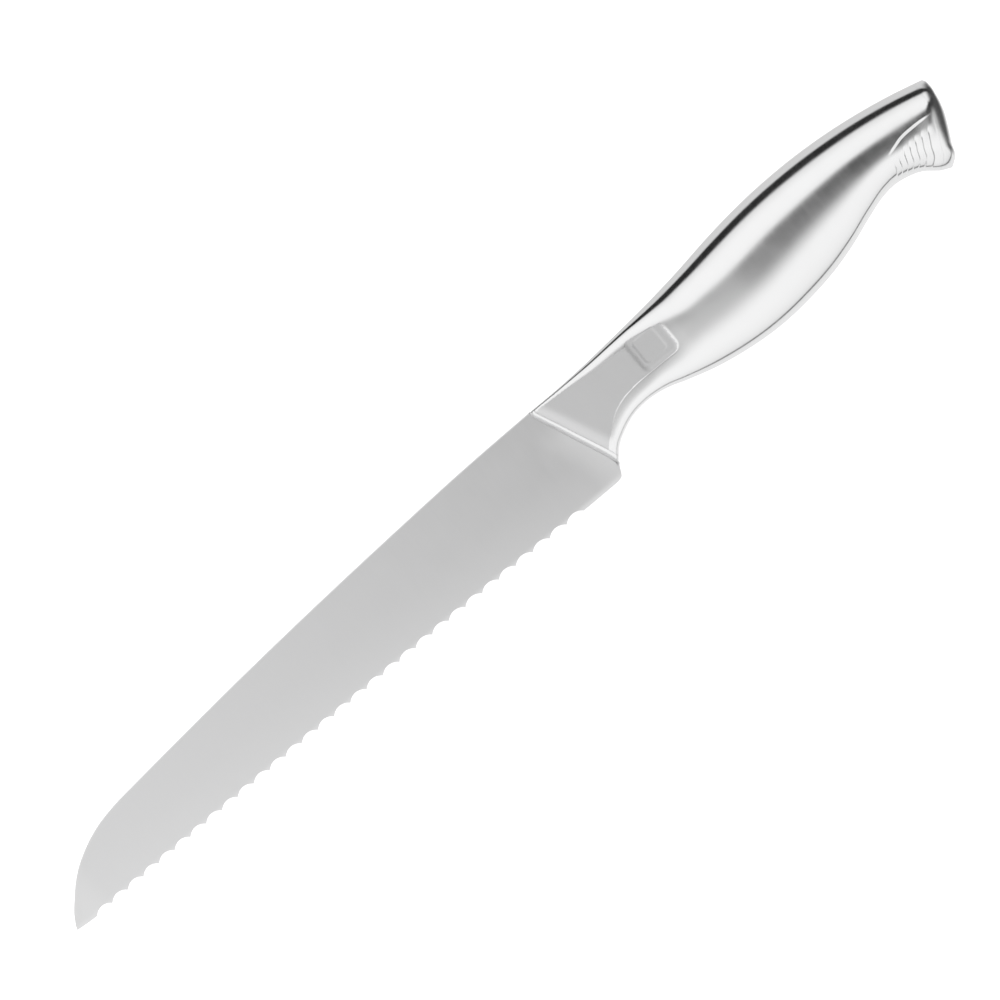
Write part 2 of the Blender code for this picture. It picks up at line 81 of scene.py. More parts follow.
HEEL_LINE = [(HEEL_X, -16.7), (29.2, -16.4), (29.9, -15.7), (30.8, -13.9), (31.7, -12.6)]
SHOULDER_BY_Y = [
    (-12.9, 31.7), (-12.6, 31.7), (-5.0, 28.85), (0.0, 26.75), (5.0, 24.7), (9.3, 22.9), (11.7, 21.95),
    (13.1, 21.8),
]
GRIND_HEIGHT = 14.0
LEFT_GRIND = 0.35
RIGHT_GRIND = 0.55
MICRO_BEVEL_HEIGHT = 1.6
MICRO_BEVEL = 0.14
HOLLOW_DEPTH = 1.15
HOLLOW_RADIUS = 15.0
HOLLOW_SLOPE = 0.28
THINNEST_BLADE = 0.1
ROOT_FILLET = 0.32
ROOT_FILLET_REACH = 8.0
ROOT_FILLET_TOP_Y = 9.0
ROOT_FILLET_FADE = 7.0
ROOT_GROOVE = 0.24
ROOT_GROOVE_RUN = 0.45
ROOT_GROOVE_FLOOR = 0.1
ROOT_COLUMNS = 60
ROOT_CROWDING = 1.8
COLLAR_SLANT_COSINE = 0.92
SPINE_EASE = 0.1
SPINE_EASE_RUN = 0.5
LOWER_ROWS = [
    0.0, 0.1, 0.25, 0.45, 0.7, 1.0, 1.35, 1.75, 2.2, 2.7, 3.2, 3.8, 4.6, 5.6, 7.0, 8.6, 10.2, 12.0,
    GRIND_HEIGHT,
]
LOWER_ROWS_ROOM = 1.45 * GRIND_HEIGHT  # where the blade is less high than this, they are squeezed together
UPPER_ROWS = [0.12, 0.24, 0.36, 0.48, 0.6, 0.7, 0.79, 0.86, 0.91, 0.95, 0.97, 0.98, 0.99, 1.0]
TANG = ((15.0, -1.6, -0.9), (58.0, 8.6, 0.9))
TANG_HOLE = (50.0, 3.5)
TANG_HOLE_RADIUS = 2.5
TANG_HOLE_HALF_LENGTH = 4.0

# Handle outline and section. CROWN is the half thickness, and squareness the squared ellipse's power.
TOP_LINE = [
    (21.7, 13.0), (32.0, 13.0), (40.0, 13.3), (52.0, 14.1), (64.0, 15.1), (76.0, 16.5), (88.0, 18.3),
    (100.0, 19.55), (112.0, 19.96), (124.0, 19.5), (136.0, 18.1), (148.0, 15.8), (156.6, 13.6),
]
BELLY_LINE = [
    (31.6, -12.5), (34.0, -9.8), (38.0, -7.3), (42.0, -5.7), (48.0, -4.9), (54.0, -5.65), (60.0, -7.6),
    (68.0, -9.9), (76.0, -11.4), (88.0, -12.4), (100.0, -11.6), (108.0, -10.3), (116.0, -8.15),
    (124.0, -5.3), (130.0, -3.5), (134.0, -3.05), (138.0, -3.6), (142.0, -5.05), (146.0, -8.1), (148.4, -9.2),
]
FRONT_LINE = [
    (-12.5, 31.6), (-10.0, 30.75), (-5.0, 28.75), (0.0, 26.65), (5.0, 24.6), (9.2, 22.8), (11.6, 21.85),
    (13.0, 21.7),
]
END_LINE = [
    (-9.2, 148.4), (-8.0, 150.1), (-4.0, 152.2), (0.0, 154.2), (4.0, 155.9), (8.0, 156.9), (11.0, 157.25),
    (13.0, 157.0), (13.6, 156.6),
]
HANDLE_RUN = 126.0
CREST_LINE = [
    (22.0, 1.5), (60.0, 1.5), (68.0, 1.65), (80.0, 2.0), (90.0, 2.5), (100.0, 3.7), (108.0, 4.7),
    (116.0, 5.6), (124.0, 6.1), (132.0, 5.75), (140.0, 5.0), (150.0, 4.65), (157.0, 4.6),
]
CROWN = [
    (22.0, 4.2), (32.0, 4.6), (40.0, 4.96), (50.0, 5.39), (56.0, 5.62), (60.0, 5.8), (64.0, 6.03),
    (68.0, 6.38), (74.0, 6.85), (80.0, 7.28), (88.0, 7.78), (98.0, 8.0), (108.0, 8.0), (116.0, 7.93),
    (124.0, 7.78), (136.0, 7.4), (150.0, 7.2), (157.0, 7.1),
]
SPINE_SQUARENESS = [
    (22.0, 14.0), (30.0, 12.0), (35.0, 9.6), (40.0, 7.2), (50.0, 5.4), (56.0, 4.4), (60.0, 3.5), (64.0, 2.85),
    (68.0, 2.4), (76.0, 2.2), (100.0, 2.12), (120.0, 2.03), (157.0, 2.0),
]
BELLY_SQUARENESS = [
    (22.0, 7.0), (36.0, 6.0), (44.0, 5.0), (50.0, 4.3), (56.0, 3.2), (60.0, 2.85), (68.0, 2.3), (80.0, 2.2),
    (92.0, 2.05), (108.0, 1.95), (124.0, 2.1), (157.0, 2.0),
]
COLLAR_RISE = 1.15
COLLAR_FOOT_SHARE = 0.34
COLLAR_TOP_SHARE = 0.74
NECK_RISE = 5.0
BUTT_ROUNDING = 4.8
BUTT_EDGE_ROUNDING = 2.9
BUTT_EDGE_T = 0.8
THINNEST_SHARE = 0.4

# Flat on each side of the neck, with the sunken plain panel in it
FACET_START_X = 24.0
FACET_END_X = 64.6
FACET_START_HALF = 4.18
FACET_END_HALF = 5.9
FACET_CORNER = 2.4
FACET_STEP = 0.62
CREASE_LINE = [(31.0, -9.5), (35.5, -5.6), (39.5, -2.4), (43.5, -0.75), (48.5, 0.0), (57.0, 0.0), (66.0, 0.0)]
# The crease's t away from the flat, its limits, and where it sets in and fades out (distance, run)
CREASE_REST = -0.45
CREASE_LIMITS = (-0.8, 0.2)
CREASE_FRONT = (1.0, 6.0)
CREASE_BACK = (34.0, 14.0)
PANEL_LOW = (52.4, 0.4)
PANEL_HIGH = (64.9, 16.0)
PANEL_CORNER = 2.4
PANEL_BANK = 1.4
PANEL_DEPTH = 0.16
INSET_LOW = (54.5, 2.3)
INSET_HIGH = (61.8, 9.8)
INSET_CORNER = 1.3
INSET_BANK = 0.35
INSET_DEPTH = 0.06
SATIN_OVERRUN_ABOVE = 0.045
SATIN_OVERRUN_BELOW = 0.15

# Scooped and ribbed grip at the butt
SCOOP_START_X = 136.5
SCOOP_START_RUN = 6.0
SCOOP_TOP_LINE = [(136.0, 3.9), (139.5, 4.9), (142.0, 5.6), (147.0, 5.85), (152.0, 5.6), (158.0, 5.4)]
SCOOP_DEPTH = 0.44
SCOOP_BANK = 0.62
SCOOP_RUN = 9.0
SCOOP_FADE = 0.4
SCOOP_END = 3.2
SCOOP_END_RUN = 5.0
RIB_PITCH = 1.72
RIB_COUNT = 7
RIB_HEIGHT = 0.32
RIB_FACE = 0.16
RIB_TOP = 2.2
RIB_TOP_RUN = 3.0
LAST_RIB_FROM_END = 3.65

# Pieces of the handle
WALL = 1.0
HALF_WELD = 0.3
WELD_DEPTH = 1.0
COLLAR_LENGTH = 1.2
GROOVE = 0.05
CAP_LENGTH = 3.2
SEAM = 0.02
SPIGOT_GAP = 0.3
SPIGOT_LENGTH = 2.5
PEG_SIDES = 48

# How closely the handle's pieces are meshed: rows round the section, and distances along the handle
QUARTER_POINTS = 260
ROWS_BELOW_CREASE = 40
ROWS_ABOVE_CREASE = 96
COLLAR_ROWS = [0.0, 0.02, 0.06, 0.12, 0.2, 0.3, 0.42, 0.56, 0.72, 0.9, 1.05, COLLAR_LENGTH]
CAP_ROWS = [0.0, 0.02, 0.06, 0.14, 0.26, 0.42, 0.62, 0.86, 1.15, 1.5, 1.9, 2.3, 2.75, CAP_LENGTH]
RIB_ROWS = [0.0, 0.5 * RIB_FACE, RIB_FACE, 0.22, 0.35, 0.5, 0.65, 0.8, 0.92]
NECK_ROWS_END = 47.0
LAST_ROW_GAP = 0.05
SAME_POINT = 1e-8
SHARP_ANGLE = math.radians(32.0)

# The direction of the brushing is kept in a UV map
GRAIN_MAP = "grain"
GRAIN_U_PER_MM = 0.01

# Finishes: noise in cycles a metre, relief in metres
BRUSH_LINES = (5200.0, 90.0, 90.0)
BRUSH_LINES_DETAIL = 3.0
BRUSH_MOTTLE = (260.0, 120.0, 120.0)
BRUSH_MOTTLE_DETAIL = 2.0
BRUSH_SHADE = 0.965
BRUSH_MOTTLE_SPREAD = 0.02
BRUSH_RELIEF = 0.00002
FILLING_DETAIL = 4.0
FILLING_SPREAD = 0.08
FILLING_BUMP = 0.4
FILLING_RELIEF = 0.0002
NOISE_ROUGHNESS = 0.6
NOISE_LOW = 0.3
NOISE_HIGH = 0.7

# Camera, aimed at the drawing's origin: its tilt towards the butt and its roll about its own axis
CAMERA_TILT = math.radians(8.0)
CAMERA_ROLL = math.radians(39.9)
CAMERA_DISTANCE = 580.86
CAMERA_LENS = 76.9
SENSOR_WIDTH = 36.0
CLIP_START = 0.05
CLIP_END = 20.0

# Floor and light, in metres
FLOOR_SIZE = 3.0
FLOOR_GAP = 0.0002
FLOOR_SHADE = 0.5
FLOOR_ROUGHNESS = 0.9
FLOOR_GLOW = 0.75
LIGHT_SIZE = 1.2
LIGHT_PLACE = (0.0, 0.3, 1.2)
LIGHT_TILT = math.radians(-12.0)
LIGHT_POWER = 14.0

# Brightness of the tent round the knife, by the angle in degrees from straight up towards the spine's side
WALLS = [
    (-180, 0.95), (-104, 0.95), (-94.5, 0.86), (-92.5, 0.06), (-88, 0.06), (-86, 0.78), (-80, 0.92),
    (-60, 1.03), (-40, 1.08), (0, 1.08), (40, 1.1), (50, 1.0), (57, 0.9), (60.5, 0.02), (84, 0.02),
    (86, 0.74), (100, 0.76), (180, 0.76),
]
# The dark slot overhead, as a share of the walls' brightness
SLOT = [
    (-180, 1.0), (-24, 1.0), (-18.5, 0.93), (-14.6, 0.8), (-12.7, 0.73), (-10.8, 0.65), (-9, 0.56),
    (-7.2, 0.47), (-5.4, 0.4), (-3.6, 0.35), (0, 0.26), (4, 0.22), (8, 0.18), (12, 0.16), (14, 0.2),
    (16.5, 0.45), (18, 0.85), (20, 0.98), (24, 1.0), (180, 1.0),
]
# How deep the slot is, as a share of DEEPEST_SLOT, and how far the end is dark, by the angle towards the butt
SLOT_POWER = [
    (-180, 0.0), (-45, 0.0), (-23, 0.06), (-14, 0.11), (-7, 0.21), (-3, 0.37), (2, 0.6), (8, 0.8),
    (20, 1.0), (40, 1.0), (180, 1.0),
]
END_DARK = [(-180, 0.0), (34, 0.0), (58, 0.94), (180, 0.94)]
DEEPEST_SLOT = 2.0
DARK_END = 0.03


# ---------------------------------------------------------------- curves


def curve(points):
    """A smooth function of the first coordinate through the points, for numbers or arrays."""
    x, y = np.array(points, float).T
    run = np.diff(x)
    secants = np.diff(y) / run
    inner = (secants[:-1] * run[1:] + secants[1:] * run[:-1]) / (run[:-1] + run[1:])
    slopes = np.concatenate((secants[:1], inner, secants[-1:]))

    def value(at):
        at = np.clip(at, x[0], x[-1])
        i = np.clip(np.searchsorted(x, at, side="right") - 1, 0, len(secants) - 1)
        k = (at - x[i]) / run[i]
        rise = (2 * k**3 - 3 * k**2 + 1) * y[i] + (3 * k**2 - 2 * k**3) * y[i + 1]
        return rise + run[i] * ((k**3 - 2 * k**2 + k) * slopes[i] + (k**3 - k**2) * slopes[i + 1])

    return value


spine_y = curve(SPINE_LINE)
edge_y = curve(EDGE_LINE)
top_y = curve(TOP_LINE)
belly_y = curve(BELLY_LINE)
front_x = curve(FRONT_LINE)
end_x = curve(END_LINE)
crown_z = curve(CROWN)
crest_y = curve(CREST_LINE)
spine_squareness = curve(SPINE_SQUARENESS)
belly_squareness = curve(BELLY_SQUARENESS)
crease_y = curve(CREASE_LINE)
scoop_top_y = curve(SCOOP_TOP_LINE)


def smooth_step(value):
    """0 up to 0, 1 from 1, and a smooth rise between them."""
    value = np.clip(value, 0.0, 1.0)
    return value * value * (3.0 - 2.0 * value)


def blend(a, b, share):
    """a where share is 0 and b where it is 1."""
    return a + (b - a) * share


# ---------------------------------------------------------------- handle surface


def plan(u, s):
    """x and y in the handle.

    u is 0 at the collar and 1 at the butt, and s is 0 at the belly and 1 at the spine.
    """
    top_x = blend(TOP_LINE[0][0], TOP_LINE[-1][0], u)
    belly_x = blend(BELLY_LINE[0][0], BELLY_LINE[-1][0], u)
    front = blend(BELLY_LINE[0][1], TOP_LINE[0][1], s)
    end = blend(BELLY_LINE[-1][1], TOP_LINE[-1][1], s)
    corner_x = blend(
        blend(BELLY_LINE[0][0], TOP_LINE[0][0], s), blend(BELLY_LINE[-1][0], TOP_LINE[-1][0], s), u
    )
    x = blend(belly_x, top_x, s) + blend(front_x(front), end_x(end), u) - corner_x
    y = blend(belly_y(belly_x), top_y(top_x), s)
    return x, y


def inset_plan(u, t, inset):
    """The same with the belly and the spine drawn in by inset; t is -1 at the belly and 1 at the spine."""
    low = plan(u, 0.0)
    high = plan(u, 1.0)
    shrink = 1.0 - 2.0 * inset / math.dist(low, high)
    return plan(u, 0.5 + 0.5 * t * shrink)


def front_share(distance):
    """How much of the full thickness the handle has this far behind the front of the collar."""
    if distance < COLLAR_RISE:
        climb = math.sqrt(1.0 - (1.0 - distance / COLLAR_RISE) ** 2)
        return blend(COLLAR_FOOT_SHARE, COLLAR_TOP_SHARE, climb)
    left = max(0.0, 1.0 - (distance - COLLAR_RISE) / (NECK_RISE - COLLAR_RISE))
    return 1.0 - (1.0 - COLLAR_TOP_SHARE) * left**3


def butt_share(distance, t):
    """How much of the full thickness is left near the butt, which is rounded most at the middle."""
    radius = blend(BUTT_ROUNDING, BUTT_EDGE_ROUNDING, smooth_step(np.abs(t) / BUTT_EDGE_T))
    left = np.clip(1.0 - distance / radius, 0.0, 1.0)
    return (1.0 - left * left) ** (1.0 / 3.0)


def facet_share(x, y):
    """1 on the neck's flat, 0 on the swelling around it, with a rounded corner between them."""
    above = y - crease_y(x)
    before = FACET_END_X - x
    cornered = FACET_CORNER - np.hypot(FACET_CORNER - above, FACET_CORNER - before)
    in_corner = (above < FACET_CORNER) & (before < FACET_CORNER)
    return smooth_step(np.where(in_corner, cornered, np.minimum(above, before)) / FACET_STEP)


def depth_inside(x, y, low, high, corner):
    """How far a point lies inside a rectangle with round corners."""
    beside = np.maximum(low[0] - x, x - high[0]) + corner
    above = np.maximum(low[1] - y, y - high[1]) + corner
    outside = np.hypot(np.maximum(beside, 0.0), np.maximum(above, 0.0))
    return corner - outside - np.minimum(np.maximum(beside, above), 0.0)


def flat_height(x, y):
    """Half thickness at the neck's flat, which rises evenly towards the butt and holds the panel."""
    share = (x - FACET_START_X) / (FACET_END_X - FACET_START_X)
    panel = smooth_step(depth_inside(x, y, PANEL_LOW, PANEL_HIGH, PANEL_CORNER) / PANEL_BANK)
    inset = smooth_step(depth_inside(x, y, INSET_LOW, INSET_HIGH, INSET_CORNER) / INSET_BANK)
    return blend(FACET_START_HALF, FACET_END_HALF, share) - PANEL_DEPTH * panel - INSET_DEPTH * inset


def grip_depth(x, y, from_end, t):
    """Depth of the scoop at the butt, with its shingled ribs."""
    below_top = scoop_top_y(x) - y
    bank = smooth_step(below_top / SCOOP_BANK) * (1.0 - SCOOP_FADE * smooth_step(below_top / SCOOP_RUN))
    ends = smooth_step((x - SCOOP_START_X) / SCOOP_START_RUN)
    ends *= smooth_step((from_end - SCOOP_END) / SCOOP_END_RUN)
    phase = (from_end - LAST_RIB_FROM_END) / RIB_PITCH
    rib = 0.0
    if 0.0 <= phase <= RIB_COUNT:
        shingle = min((phase % 1.0) / (1.0 - RIB_FACE), (1.0 - phase % 1.0) / RIB_FACE)
        rib = RIB_HEIGHT * shingle * smooth_step((below_top - RIB_TOP) / RIB_TOP_RUN)
    return SCOOP_DEPTH * bank * ends * (1.0 - t**4) + rib * (1.0 - t**8)


def quarter(power):
    """Points of a quarter of a squared ellipse, from its crest: reach from 0 to 1, lift from 1 to 0."""
    even = np.linspace(0.0, 1.0, QUARTER_POINTS)
    turned = np.maximum(0.0, 1.0 - even**power) ** (1.0 / power)
    reach = np.concatenate((even, turned))
    lift = np.concatenate((turned, even))
    order = np.argsort(reach)
    return reach[order], lift[order]


def crease_t(u):
    """The section parameter that the crease of the neck's flat runs along."""
    low, high = plan(u, 0.0), plan(u, 1.0)
    target = 2.0 * (crease_y(low[0]) - low[1]) / (high[1] - low[1]) - 1.0
    distance = u * HANDLE_RUN
    (front, front_run), (back, back_run) = CREASE_FRONT, CREASE_BACK
    near = smooth_step((distance - front) / front_run) * (1.0 - smooth_step((distance - back) / back_run))
    return blend(CREASE_REST, np.clip(target, *CREASE_LIMITS), near)


def squared_row(u, inset):
    """One row of the squared ellipse, from the belly to the spine, evenly spaced on each side of the crease.

    It gives t and lift of its points, then the crest's t and the crown's height.
    """
    low, high = plan(u, 0.0), plan(u, 1.0)
    middle_x = 0.5 * (low[0] + high[0])
    half_height = math.dist(low, high) / 2.0 - inset
    crown = crown_z(middle_x) - inset
    crest = 2.0 * (crest_y(middle_x) - low[1]) / (high[1] - low[1]) - 1.0
    belly_reach, belly_lift = quarter(belly_squareness(low[0]))
    spine_reach, spine_lift = quarter(spine_squareness(high[0]))
    t = np.concatenate((crest - (1.0 + crest) * belly_reach[::-1], crest + (1.0 - crest) * spine_reach[1:]))
    lift = np.concatenate((belly_lift[::-1], spine_lift[1:]))
    steps = np.hypot(np.diff(t) * half_height, np.diff(lift) * crown)
    run = np.concatenate(([0.0], np.cumsum(steps)))
    crease_run = np.interp(crease_t(u), t, run)
    at = np.concatenate((
        np.linspace(0.0, crease_run, ROWS_BELOW_CREASE, endpoint=False),
        np.linspace(crease_run, run[-1], ROWS_ABOVE_CREASE + 1),
    ))
    return np.interp(at, run, t), np.interp(at, run, lift), crest, crown


def section(u, inset):
    """One row of the skin: x, y and z of its points, and whether each of them is on the neck's flat."""
    t, lift, crest, crown = squared_row(u, inset)
    x, y = plan(u, 0.5 + 0.5 * t)
    body = (crown_z(x) - inset) * lift
    flat = flat_height(x, y) - inset
    share = facet_share(x, y)
    from_end = (1.0 - u) * HANDLE_RUN
    height = blend(body, np.minimum(body, flat), share)
    height *= front_share(u * HANDLE_RUN) * butt_share(from_end, t)
    z = np.maximum(THINNEST_SHARE * height, height - grip_depth(x, y, from_end, t))
    overrun = np.where(t > crest, SATIN_OVERRUN_ABOVE, SATIN_OVERRUN_BELOW)
    on_flat = (body > flat - overrun) & (share > 0.5)
    x, y = inset_plan(u, t, inset)
    return x, y, HALF_WELD + z * (1.0 - HALF_WELD / crown), on_flat


# ---------------------------------------------------------------- meshes


DRAWING_LOW = Vector((TIP_X, min(y for _, y in EDGE_LINE), -max(z for _, z in CROWN)))
OFFSET = Vector(cad_low) - DRAWING_LOW * MM
OFFSET.y = cad_high.y - max(y for _, y in TOP_LINE) * MM
OFFSET.z = 0.5 * (cad_low.z + cad_high.z)


def add_grain_map(data):
    """A UV map whose U runs along the knife and V round it, for the direction of the brushing."""
    positions = np.empty(len(data.vertices) * 3)
    data.vertices.foreach_get("co", positions)
    corners = np.empty(len(data.loops), int)
    data.loops.foreach_get("vertex_index", corners)
    x, y, z = ((positions.reshape(-1, 3) - OFFSET) / MM)[corners].T
    middle = 0.5 * (top_y(x) + belly_y(x))
    grain_map = data.uv_layers.new(name=GRAIN_MAP)
    along, around = GRAIN_U_PER_MM * x, np.arctan2(z, y - middle)
    grain_map.data.foreach_set("uv", np.stack((along, around), axis=1).ravel())


def placed(name, vertices, faces, material, finishes=None):
    """An object from a drawing in millimetres; finishes says which of several materials each face has."""
    data = bpy.data.meshes.new(name)
    data.from_pydata([Vector(v) * MM + OFFSET for v in vertices], [], faces)
    for each in material if finishes else (material,):
        data.materials.append(each)
    if finishes:
        data.polygons.foreach_set("material_index", finishes)
    mesh = bmesh.new()
    mesh.from_mesh(data)
    bmesh.ops.remove_doubles(mesh, verts=mesh.verts, dist=SAME_POINT)
    bmesh.ops.recalc_face_normals(mesh, faces=mesh.faces)
    mesh.to_mesh(data)
    mesh.free()
    data.shade_smooth()
    data.set_sharp_from_angle(angle=SHARP_ANGLE)
    add_grain_map(data)
    obj = bpy.data.objects.new(name, data)
    bpy.context.scene.collection.objects.link(obj)
    return obj


def grid_faces(rows, columns, first=0, loop=False):
    """Quads over a grid of vertices stored row by row, closed round each row if it is a loop."""
    faces = []
    for i in range(rows - 1):
        for j in range(columns if loop else columns - 1):
            k = (j + 1) % columns
            a, b = first + i * columns, first + (i + 1) * columns
            faces.append((a + j, a + k, b + k, b + j))
    return faces


def lofted(name, rings, material):
    """A solid through closed rings, with a face over the first one and over the last."""
    count = len(rings[0])
    vertices = [point for ring in rings for point in ring]
    faces = grid_faces(len(rings), count, loop=True)
    faces.append(tuple(range(count)))
    faces.append(tuple(range(len(vertices) - count, len(vertices))))
    return placed(name, vertices, faces, material)


def full_ring(u, inset=0.0):
    """The handle's whole section at u, up one flank from the belly and down the other."""
    x, y, z, _ = section(u, inset)
    near = list(zip(x, y, z))
    return near + [(a, b, -c) for a, b, c in reversed(near)]


def cut(obj, cutter, operation="DIFFERENCE"):
    """Applies a Boolean and removes the cutter."""
    modifier = obj.modifiers.new("cut", "BOOLEAN")
    modifier.operation = operation
    modifier.solver = "EXACT"
    modifier.object = cutter
    bpy.context.view_layer.update()
    evaluated = obj.evaluated_get(bpy.context.evaluated_depsgraph_get())
    data = bpy.data.meshes.new_from_object(evaluated)
    obj.modifiers.clear()
    obj.data = data
    data.set_sharp_from_angle(angle=SHARP_ANGLE)
    bpy.data.objects.remove(cutter)


def block(name, low, high, material):
    """A box between two corners, to join or cut with."""
    corners = [(x, y, z) for x in (low[0], high[0]) for y in (low[1], high[1]) for z in (low[2], high[2])]
    faces = [(0, 1, 3, 2), (4, 6, 7, 5), (0, 4, 5, 1), (2, 3, 7, 6), (0, 2, 6, 4), (1, 5, 7, 3)]
    return placed(name, corners, faces, material)


def peg(name, centre, radius, half_length, material):
    """An upright round peg."""
    turns = [2.0 * math.pi * i / PEG_SIDES for i in range(PEG_SIDES)]
    circle = [(centre[0] + radius * math.cos(a), centre[1] + radius * math.sin(a)) for a in turns]
    return lofted(name, [[(x, y, z) for x, y in circle] for z in (-half_length, half_length)], material)


# ---------------------------------------------------------------- handle pieces


def shell_distances():
    """Distances behind the collar's front of the shells' rows: close on the neck and over the ribs."""
    start = COLLAR_LENGTH + GROOVE
    end = HANDLE_RUN - CAP_LENGTH - SEAM
    ribs_end = HANDLE_RUN - LAST_RIB_FROM_END
    ribs_start = ribs_end - RIB_PITCH * RIB_COUNT
    from_to_step = [
        (start, start + 0.5, 0.12),
        (start + 0.78, NECK_ROWS_END, 0.32),
        (NECK_ROWS_END + 0.2, ribs_start - 3.0, 0.75),
        (ribs_start - 2.6, ribs_start - 0.1, 0.3),
        (ribs_end + 0.1, end - 0.1, 0.2),
    ]
    distances = [d for low, high, step in from_to_step for d in np.arange(low, high, step)]
    distances += [ribs_start + RIB_PITCH * (i + share) for i in range(RIB_COUNT) for share in RIB_ROWS]
    return sorted(d for d in distances if d < end - LAST_ROW_GAP) + [end]


def make_shell(name, side, material, satin):
    """One pressed half of the handle, with its inner skin and rims, and a satin finish on the neck's flat."""
    distances = shell_distances()
    vertices, satin_points = [], []
    for inset in (0.0, WALL):
        for distance in distances:
            x, y, z, on_flat = section(distance / HANDLE_RUN, inset)
            vertices += list(zip(x, y, side * z))
            satin_points += list(on_flat)
    rows, columns = len(distances), ROWS_BELOW_CREASE + ROWS_ABOVE_CREASE + 1
    inner = rows * columns
    faces = grid_faces(rows, columns) + grid_faces(rows, columns, inner)
    for j in range(columns - 1):
        for a in (0, inner - columns):
            faces.append((a + j, a + j + 1, inner + a + j + 1, inner + a + j))
    for i in range(rows - 1):
        for a in (0, columns - 1):
            b, c = a + i * columns, a + (i + 1) * columns
            faces.append((b, c, inner + c, inner + b))
    finishes = [int(all(satin_points[corner] for corner in face)) for face in faces]
    return placed(name, vertices, faces, (material, satin), finishes)


def make_weld(name, t, material):
    """Ground filler run between the rims of the shells."""
    rings = []
    for distance in shell_distances():
        u = distance / HANDLE_RUN
        outer, inner = inset_plan(u, t, 0.0), inset_plan(u, t, WELD_DEPTH)
        across = [HALF_WELD * share for share in (1.0, 0.5, 0.0, -0.5, -1.0)]
        rings.append([(*outer, z) for z in across] + [(*inner, z) for z in reversed(across)])
    return lofted(name, rings, material)


def make_collar(material):
    """The lip at the root of the blade, with its spigot and the slot for the tang."""
    rings = [full_ring(d / HANDLE_RUN) for d in COLLAR_ROWS]
    inset = WALL + SPIGOT_GAP
    rings.append(full_ring(COLLAR_LENGTH / HANDLE_RUN, inset))
    rings.append(full_ring((COLLAR_LENGTH + SPIGOT_LENGTH) / HANDLE_RUN, inset))
    collar = lofted("collar", rings, material)
    (x0, y0, z0), (x1, y1, z1) = TANG
    cut(collar, block("slot", (x0, y0 - SEAM, z0 - SEAM), (x1, y1 + SEAM, z1 + SEAM), material))
    return collar


def make_cap(material):
    """The domed end of the handle, with its spigot."""
    rings = [full_ring(1.0 - d / HANDLE_RUN) for d in CAP_ROWS]
    inset = WALL + SPIGOT_GAP
    rings.append(full_ring(1.0 - CAP_LENGTH / HANDLE_RUN, inset))
    rings.append(full_ring(1.0 - (CAP_LENGTH + SPIGOT_LENGTH) / HANDLE_RUN, inset))
    return lofted("butt_end", rings, material)


# ---------------------------------------------------------------- blade


def scallop_height(x):
    """Height of the edge over the tooth tips' line, and how far off the middle of its scallop x is."""
    along = x - FIRST_TOOTH_X
    toothed = (along >= 0.0) & (along <= TOOTH_PITCH * SCALLOP_COUNT)
    half = TOOTH_PITCH / 2.0
    off = np.where(toothed, np.mod(along, TOOTH_PITCH) - half, half)
    radius = (half * half + SCALLOP_DEPTH * SCALLOP_DEPTH) / (2.0 * SCALLOP_DEPTH)
    height = np.sqrt(radius * radius - off * off) - (radius - SCALLOP_DEPTH)
    return np.where(toothed, height, 0.0), off


def blade_columns():
    """x of the blade's upright columns: close at the tip, then even along the scallops."""
    tip = [blend(TIP_X, FIRST_TOOTH_X, share) for share in TIP_COLUMNS]
    steps = SCALLOP_COUNT * SCALLOP_COLUMNS
    return np.array(tip + [FIRST_TOOTH_X + TOOTH_PITCH * i / SCALLOP_COLUMNS for i in range(steps + 1)])


def back_x(y):
    """Where the blade ends at the collar, and below it at the rounded heel."""
    heel_first = [(y, x) for x, y in HEEL_LINE]
    return np.where(y < HEEL_LINE[-1][1], curve(heel_first)(y), curve(SHOULDER_BY_Y)(y))


def blade_sides(x, y, low):
    """z of the left and of the right face."""
    scallop, off = scallop_height(x)
    above = np.maximum(0.0, y - (low - scallop))
    grind = np.clip((GRIND_HEIGHT - above) / GRIND_HEIGHT, 0.0, 1.0)
    micro = np.clip((MICRO_BEVEL_HEIGHT - above) / MICRO_BEVEL_HEIGHT, 0.0, 1.0)
    half = HALF_BLADE * blend(TIP_THICKNESS_SHARE, 1.0, smooth_step((x - TIP_X) / TIP_THICKNESS_RUN))
    before_collar = front_x(np.maximum(y, FRONT_LINE[0][0])) - x
    to_collar = np.maximum(0.0, COLLAR_SLANT_COSINE * before_collar)
    fillet = ROOT_FILLET * np.clip(1.0 - to_collar / ROOT_FILLET_REACH, 0.0, 1.0) ** 2
    fillet = fillet * smooth_step((ROOT_FILLET_TOP_Y - y) / ROOT_FILLET_FADE)
    groove_share = smooth_step((ROOT_GROOVE_RUN - to_collar) / (ROOT_GROOVE_RUN - ROOT_GROOVE_FLOOR))
    groove = ROOT_GROOVE * groove_share * (y > FRONT_LINE[0][0])
    left = half - LEFT_GRIND * grind**2 - MICRO_BEVEL * micro**2 + fillet - groove
    hollow = np.maximum(0.0, HOLLOW_DEPTH - off * off / (2.0 * HOLLOW_RADIUS) - HOLLOW_SLOPE * above)
    right = -(half - RIGHT_GRIND * grind**1.5 + fillet - groove) + hollow
    return left, np.minimum(right, left - THINNEST_BLADE)


